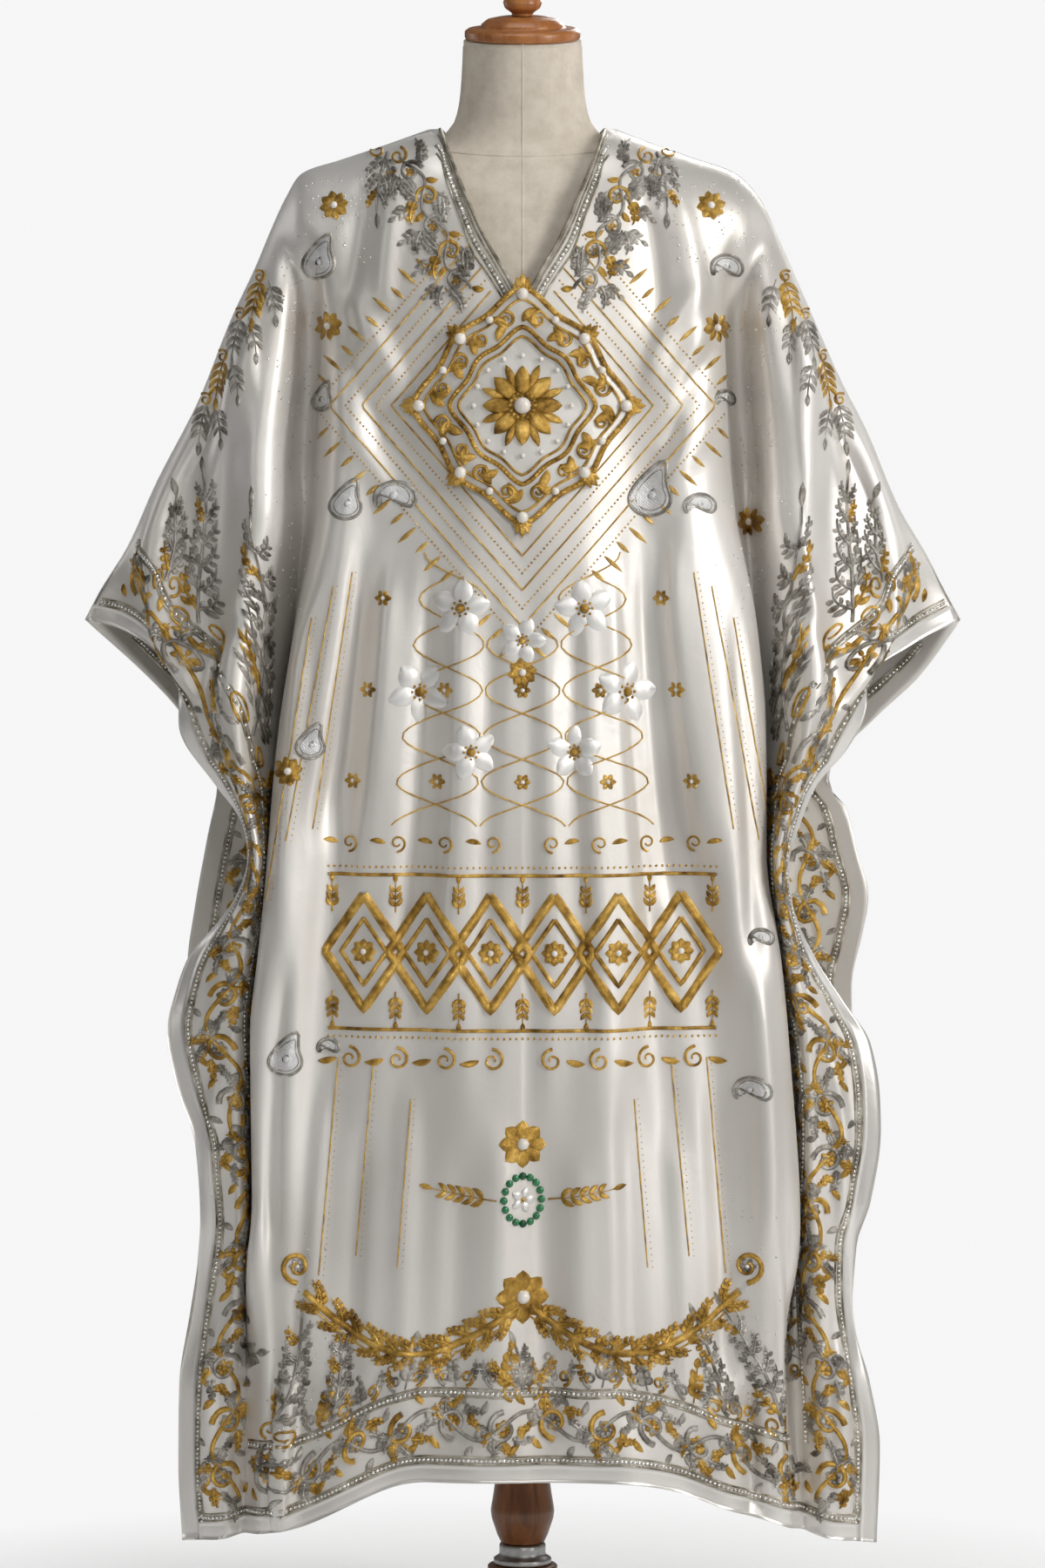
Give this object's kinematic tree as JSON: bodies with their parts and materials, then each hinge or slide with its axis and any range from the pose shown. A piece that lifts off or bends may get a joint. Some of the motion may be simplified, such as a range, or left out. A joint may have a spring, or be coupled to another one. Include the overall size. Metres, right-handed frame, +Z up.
{
  "type": "dashiki on dress form",
  "caption": "Wide kaftan-cut dashiki of pearl-white satin with silver and gold raised embroidery, worn by a limbless linen dress form on a turned wood stand.",
  "frame": {"origin": "middle of the underside of the stand's round base, on the surface it stands on", "axes": "+Z up the stand; the garment's front faces -Y; +X is to the right seen from the front"},
  "size_m": [0.8964, 0.372, 1.7517],
  "materials": {
    "satin": "pearl-white satin with a soft sheen",
    "edge_satin": "folded satin edge band",
    "silver_braid": "silver metal-thread braid with beads",
    "gold_thread": "raised gold metal-thread embroidery with pearls",
    "linen": "plain-woven natural linen",
    "turned_wood": "satin-varnished honey-brown wood",
    "dark_wood": "satin-varnished dark brown wood",
    "steel": "brushed grey metal collar"
  },
  "bodies": {
    "root": {"front_panel": "satin", "back_panel": "satin", "front_edge_band": "edge_satin", "back_edge_band": "edge_satin", "front_edge_braid": "silver_braid", "back_edge_braid": "silver_braid", "front_neck_trim": "silver_braid", "back_neck_trim": "silver_braid", "chest_medallion": "gold_thread", "form_body": "linen", "form_neck_cap": "turned_wood", "form_finial": "turned_wood", "stand_pole": "dark_wood", "stand_collar": "steel", "stand_base": "dark_wood"}
  },
  "joints": []
}
